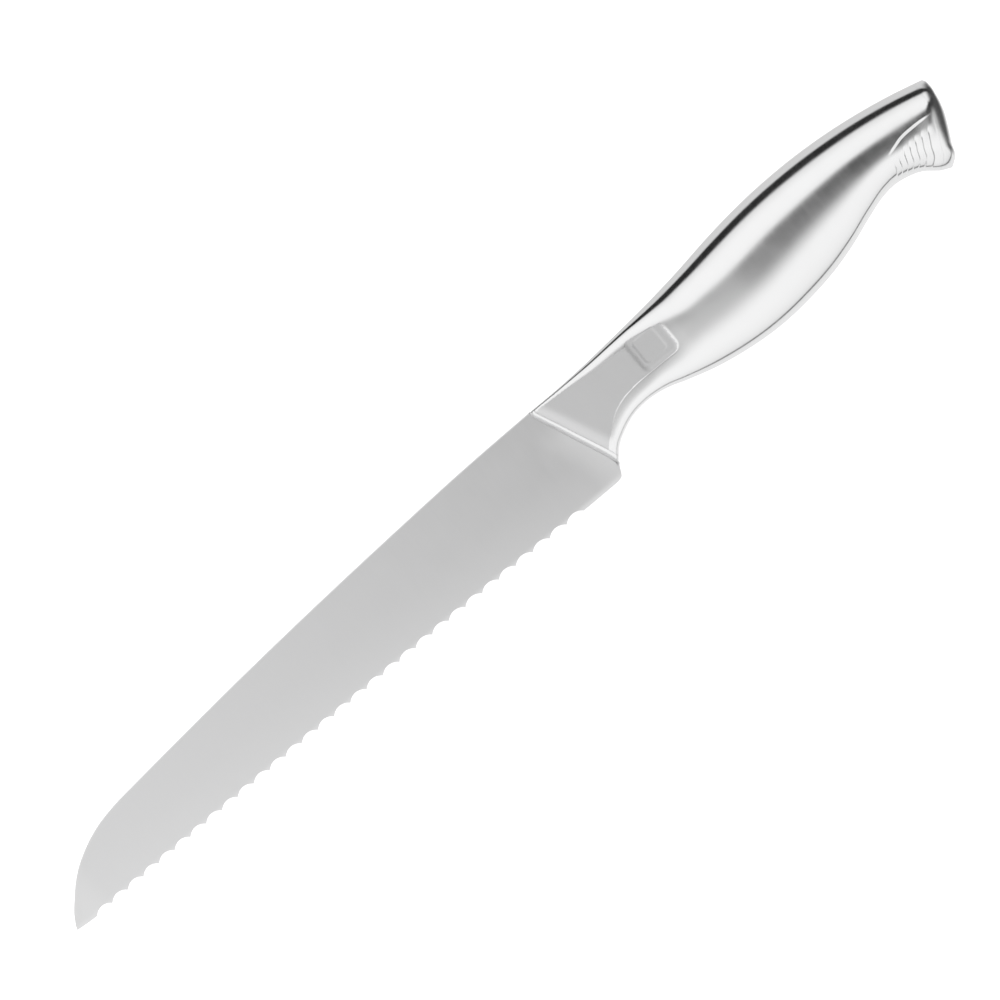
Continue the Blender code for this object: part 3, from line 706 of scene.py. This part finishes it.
def blade_rows(columns, near_collar):
    """y of each row of points from the edge to the spine, and y of the spine, along the whole blade."""
    last = columns[-1]
    toothed, plain = edge_y(columns) + scallop_height(columns)[0], edge_y(blend(last, HEEL_X, near_collar))
    lows = np.concatenate((toothed, plain))
    highs = np.concatenate((spine_y(columns), spine_y(blend(last, SHOULDER_BY_Y[-1][1], near_collar))))
    highs = np.maximum(highs, lows + SMALLEST_HEIGHT)
    squeeze = np.minimum(1.0, (highs - lows) / LOWER_ROWS_ROOM)
    rows = [lows + height * squeeze for height in LOWER_ROWS]
    return rows + [blend(rows[-1], highs, share) for share in UPPER_ROWS], highs


def blade_faces(levels, count):
    """Faces round a blade whose rows of points go up its left side and down its right one."""
    rows = 2 * levels
    last_row = (rows - 1) * count
    faces = grid_faces(rows, count)
    faces += [(j, j + 1, last_row + j + 1, last_row + j) for j in range(count - 1)]
    for j in (0, count - 1):
        for i in range(levels - 1):
            k = rows - 1 - i
            faces.append((i * count + j, (i + 1) * count + j, (k - 1) * count + j, k * count + j))
    return faces


def make_blade(material):
    """Blade with its fluted right side, its eased spine, and its tang."""
    columns = blade_columns()
    near_collar = 1.0 - (1.0 - np.linspace(0.0, 1.0, ROOT_COLUMNS)[1:]) ** ROOT_CROWDING
    rows, highs = blade_rows(columns, near_collar)
    left, right = [], []
    for y in rows:
        x = np.concatenate((columns, blend(columns[-1], back_x(y[len(columns):]), near_collar)))
        z_left, z_right = blade_sides(x, y, rows[0])
        ease = SPINE_EASE * np.clip(1.0 - (highs - y) / SPINE_EASE_RUN, 0.0, 1.0) ** 2
        left.append(np.stack((x, y, z_left - ease), axis=1))
        right.append(np.stack((x, y, z_right + ease), axis=1))
    vertices = [tuple(point) for row in left + right[::-1] for point in row]
    blade = placed("blade_fine", vertices, blade_faces(len(rows), len(highs)), material)
    cut(blade, block("tang", *TANG, material), "UNION")
    cut(blade, peg("hole", TANG_HOLE, TANG_HOLE_RADIUS, TANG_HOLE_HALF_LENGTH, material))
    return blade


# ---------------------------------------------------------------- materials


def new_material(name):
    """A material, its node tree and its shader."""
    material = bpy.data.materials.new(name)
    material.use_nodes = True
    tree = material.node_tree
    return material, tree, tree.nodes["Principled BSDF"]


def node(tree, kind, **settings):
    """A new node with the settings given."""
    made = tree.nodes.new(kind)
    for key, value in settings.items():
        setattr(made, key, value)
    return made


def grain(tree, scale, detail):
    """Noise stretched by scale along x, y and z, in cycles a metre."""
    place = node(tree, "ShaderNodeTexCoord")
    stretch = node(tree, "ShaderNodeMapping")
    stretch.inputs["Scale"].default_value = scale
    noise = node(tree, "ShaderNodeTexNoise")
    noise.inputs["Scale"].default_value = 1.0
    noise.inputs["Detail"].default_value = detail
    noise.inputs["Roughness"].default_value = NOISE_ROUGHNESS
    tree.links.new(place.outputs["Object"], stretch.inputs["Vector"])
    tree.links.new(stretch.outputs["Vector"], noise.inputs["Vector"])
    return noise.outputs["Fac"]


def mapped(tree, value, low, high):
    """The middle of a noise's range turned into low to high."""
    ramp = node(tree, "ShaderNodeMapRange")
    ramp.inputs["From Min"].default_value = NOISE_LOW
    ramp.inputs["From Max"].default_value = NOISE_HIGH
    ramp.inputs["To Min"].default_value = low
    ramp.inputs["To Max"].default_value = high
    tree.links.new(value, ramp.inputs["Value"])
    return ramp.outputs["Result"]


def add_shades(tree, shader, value, dark, light):
    """The base colour goes from dark to light with value."""
    shades = node(tree, "ShaderNodeMix", data_type="RGBA")
    shades.inputs["A"].default_value = (*dark, 1.0)
    shades.inputs["B"].default_value = (*light, 1.0)
    tree.links.new(value, shades.inputs["Factor"])
    tree.links.new(shades.outputs["Result"], shader.inputs["Base Color"])


def add_relief(tree, shader, value, strength, distance):
    """The surface rises with value."""
    relief = node(tree, "ShaderNodeBump")
    relief.inputs["Strength"].default_value = strength
    relief.inputs["Distance"].default_value = distance
    tree.links.new(value, relief.inputs["Height"])
    tree.links.new(relief.outputs["Normal"], shader.inputs["Normal"])


def brushed(name, tone, roughness, spread, anisotropic, bump):
    """Steel brushed across the knife: fine lines run round the section, with a softer mottle under them."""
    material, tree, shader = new_material(name)
    lines = grain(tree, BRUSH_LINES, BRUSH_LINES_DETAIL)
    mottle = grain(tree, BRUSH_MOTTLE, BRUSH_MOTTLE_DETAIL)
    add_shades(tree, shader, lines, [channel * BRUSH_SHADE for channel in tone], tone)
    added = node(tree, "ShaderNodeMath", operation="ADD")
    tree.links.new(mapped(tree, lines, roughness - spread, roughness + spread), added.inputs[0])
    tree.links.new(mapped(tree, mottle, -BRUSH_MOTTLE_SPREAD, BRUSH_MOTTLE_SPREAD), added.inputs[1])
    tree.links.new(added.outputs["Value"], shader.inputs["Roughness"])
    add_relief(tree, shader, lines, bump, BRUSH_RELIEF)
    shader.inputs["Metallic"].default_value = 1.0
    shader.inputs["Anisotropic"].default_value = anisotropic
    tangent = node(tree, "ShaderNodeTangent", direction_type="UV_MAP", uv_map=GRAIN_MAP)
    tree.links.new(tangent.outputs["Tangent"], shader.inputs["Tangent"])
    return material


def filled(name, dark, light, roughness, scale):
    """Cast or foamed filling with a fine mottle."""
    material, tree, shader = new_material(name)
    specks = grain(tree, (scale, scale, scale), FILLING_DETAIL)
    add_shades(tree, shader, specks, dark, light)
    spread = mapped(tree, specks, roughness - FILLING_SPREAD, roughness + FILLING_SPREAD)
    tree.links.new(spread, shader.inputs["Roughness"])
    add_relief(tree, shader, specks, FILLING_BUMP, FILLING_RELIEF)
    return material


# ---------------------------------------------------------------- build


handle_steel = brushed(
    "handle_steel", tone=(0.85, 0.85, 0.852), roughness=0.2, spread=0.02, anisotropic=0.8, bump=0.04
)
satin_steel = brushed(
    "satin_steel", tone=(0.7, 0.7, 0.702), roughness=0.44, spread=0.03, anisotropic=0.0, bump=0.2
)
blade_steel = brushed(
    "blade_steel", tone=(0.745, 0.745, 0.747), roughness=0.35, spread=0.03, anisotropic=0.0, bump=0.25
)
weld_steel = brushed(
    "weld_steel", tone=(0.81, 0.81, 0.815), roughness=0.24, spread=0.04, anisotropic=0.3, bump=0.15
)

made = {
    "blade": make_blade(blade_steel),
    "bolster_collar": make_collar(handle_steel),
    "handle_shell_left": make_shell("shell_left", 1.0, handle_steel, satin_steel),
    "handle_shell_right": make_shell("shell_right", -1.0, handle_steel, satin_steel),
    "spine_weld": make_weld("weld_spine", 1.0, weld_steel),
    "belly_weld": make_weld("weld_belly", -1.0, weld_steel),
    "butt_cap": make_cap(handle_steel),
}
for cad_node, piece in made.items():
    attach(piece, "root")
    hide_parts(cad_node)

inner_finishes = {
    "tang_cement": filled(
        "cast_resin", dark=(0.45, 0.38, 0.25), light=(0.66, 0.59, 0.44), roughness=0.5, scale=900.0
    ),
    "weight_bedding": filled(
        "bedding_resin", dark=(0.42, 0.36, 0.24), light=(0.62, 0.55, 0.41), roughness=0.5, scale=900.0
    ),
    "cement_stop": filled(
        "foam_wad", dark=(0.12, 0.12, 0.13), light=(0.34, 0.34, 0.36), roughness=0.85, scale=2600.0
    ),
    "balance_weight": brushed(
        "slug_steel", tone=(0.42, 0.43, 0.45), roughness=0.4, spread=0.06, anisotropic=0.0, bump=0.3
    ),
}
for cad_node, finish in inner_finishes.items():
    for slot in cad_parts[cad_node].material_slots:
        slot.material = finish


# ---------------------------------------------------------------- studio


def add_floor():
    """A pale floor just under the knife, which gives off most of its own brightness."""
    mesh = bmesh.new()
    bmesh.ops.create_grid(mesh, x_segments=2, y_segments=2, size=FLOOR_SIZE)
    data = bpy.data.meshes.new("floor")
    mesh.to_mesh(data)
    mesh.free()
    floor = bpy.data.objects.new("floor", data)
    floor.location.z = cad_low.z - FLOOR_GAP
    floor.visible_glossy = False
    bpy.context.scene.collection.objects.link(floor)
    material, _, shader = new_material("pale_floor")
    shader.inputs["Base Color"].default_value = (FLOOR_SHADE, FLOOR_SHADE, FLOOR_SHADE, 1.0)
    shader.inputs["Roughness"].default_value = FLOOR_ROUGHNESS
    shader.inputs["Specular IOR Level"].default_value = 0.0
    shader.inputs["Emission Color"].default_value = (1.0, 1.0, 1.0, 1.0)
    shader.inputs["Emission Strength"].default_value = FLOOR_GLOW
    data.materials.append(material)


def ramp_of(tree, stops, value):
    """value turned into brightness by stops of degrees and brightness.

    A value of 0 to 1 stands for -180 to 180 degrees.
    """
    ramp = node(tree, "ShaderNodeValToRGB")
    elements = ramp.color_ramp.elements
    while len(elements) > 1:
        elements.remove(elements[-1])
    first_level = stops[0][1]
    elements[0].color = (first_level, first_level, first_level, 1.0)
    for degrees, level in stops[1:]:
        elements.new(degrees / 360.0 + 0.5).color = (level, level, level, 1.0)
    tree.links.new(value, ramp.inputs["Fac"])
    return ramp.outputs["Color"]


def angle_share(tree, operation, *values):
    """An angle worked out from values, as 0 to 1 for -180 to 180 degrees."""
    angle = node(tree, "ShaderNodeMath", operation=operation)
    for value, socket in zip(values, angle.inputs):
        tree.links.new(value, socket)
    share = node(tree, "ShaderNodeMath", operation="MULTIPLY_ADD")
    share.inputs[1].default_value = 1.0 / (2.0 * math.pi)
    share.inputs[2].default_value = 0.5
    tree.links.new(angle.outputs["Value"], share.inputs[0])
    return share.outputs["Value"]


def tent_brightness(tree):
    """Bright walls, a dark slot overhead, a black strip on the spine's side and a dark end at the butt."""
    place = node(tree, "ShaderNodeTexCoord")
    directions = node(tree, "ShaderNodeSeparateXYZ")
    tree.links.new(place.outputs["Generated"], directions.inputs[0])
    across = angle_share(tree, "ARCTAN2", directions.outputs["Y"], directions.outputs["Z"])
    along = angle_share(tree, "ARCSINE", directions.outputs["X"])
    power = node(tree, "ShaderNodeMath", operation="MULTIPLY")
    power.inputs[1].default_value = DEEPEST_SLOT
    tree.links.new(ramp_of(tree, SLOT_POWER, along), power.inputs[0])
    slot = node(tree, "ShaderNodeMath", operation="POWER")
    tree.links.new(ramp_of(tree, SLOT, across), slot.inputs[0])
    tree.links.new(power.outputs["Value"], slot.inputs[1])
    tent = node(tree, "ShaderNodeMath", operation="MULTIPLY")
    tree.links.new(ramp_of(tree, WALLS, across), tent.inputs[0])
    tree.links.new(slot.outputs["Value"], tent.inputs[1])
    room = node(tree, "ShaderNodeMix")
    tree.links.new(ramp_of(tree, END_DARK, along), room.inputs["Factor"])
    tree.links.new(tent.outputs["Value"], room.inputs["A"])
    room.inputs["B"].default_value = DARK_END
    return room.outputs["Result"]


def add_world():
    """A light tent, which the camera sees as white."""
    world = bpy.data.worlds.new("studio")
    bpy.context.scene.world = world
    world.use_nodes = True
    tree = world.node_tree
    tree.nodes.clear()
    rays = node(tree, "ShaderNodeLightPath")
    seen = node(tree, "ShaderNodeMath", operation="MAXIMUM")
    tree.links.new(rays.outputs["Is Camera Ray"], seen.inputs[0])
    tree.links.new(tent_brightness(tree), seen.inputs[1])
    background = node(tree, "ShaderNodeBackground")
    tree.links.new(seen.outputs["Value"], background.inputs["Color"])
    output = node(tree, "ShaderNodeOutputWorld")
    tree.links.new(background.outputs["Background"], output.inputs["Surface"])


def add_light():
    """A broad soft light over the knife, left out of its reflections."""
    data = bpy.data.lights.new("soft_light", "AREA")
    data.shape = "RECTANGLE"
    data.size, data.size_y = LIGHT_SIZE, LIGHT_SIZE
    data.energy = LIGHT_POWER
    light = bpy.data.objects.new("soft_light", data)
    light.location = LIGHT_PLACE
    light.rotation_euler = (LIGHT_TILT, 0.0, 0.0)
    light.visible_glossy = False
    bpy.context.scene.collection.objects.link(light)


def add_camera():
    """Looks down on the flank from above, a little from the butt's side, with the knife on a slant."""
    back = Vector((math.sin(CAMERA_TILT), 0.0, math.cos(CAMERA_TILT)))
    level = Vector((math.cos(CAMERA_TILT), 0.0, -math.sin(CAMERA_TILT)))
    across = Vector((0.0, 1.0, 0.0))
    right = level * math.cos(CAMERA_ROLL) - across * math.sin(CAMERA_ROLL)
    up = level * math.sin(CAMERA_ROLL) + across * math.cos(CAMERA_ROLL)
    data = bpy.data.cameras.new("camera")
    data.lens = CAMERA_LENS
    data.sensor_width = SENSOR_WIDTH
    data.clip_start, data.clip_end = CLIP_START, CLIP_END
    camera = bpy.data.objects.new("camera", data)
    turn = Matrix((right, up, back)).transposed().to_4x4()
    camera.matrix_world = Matrix.Translation(OFFSET + back * CAMERA_DISTANCE * MM) @ turn
    bpy.context.scene.collection.objects.link(camera)
    bpy.context.scene.camera = camera


add_floor()
add_world()
add_light()
add_camera()
bpy.context.scene.view_settings.view_transform = "Standard"
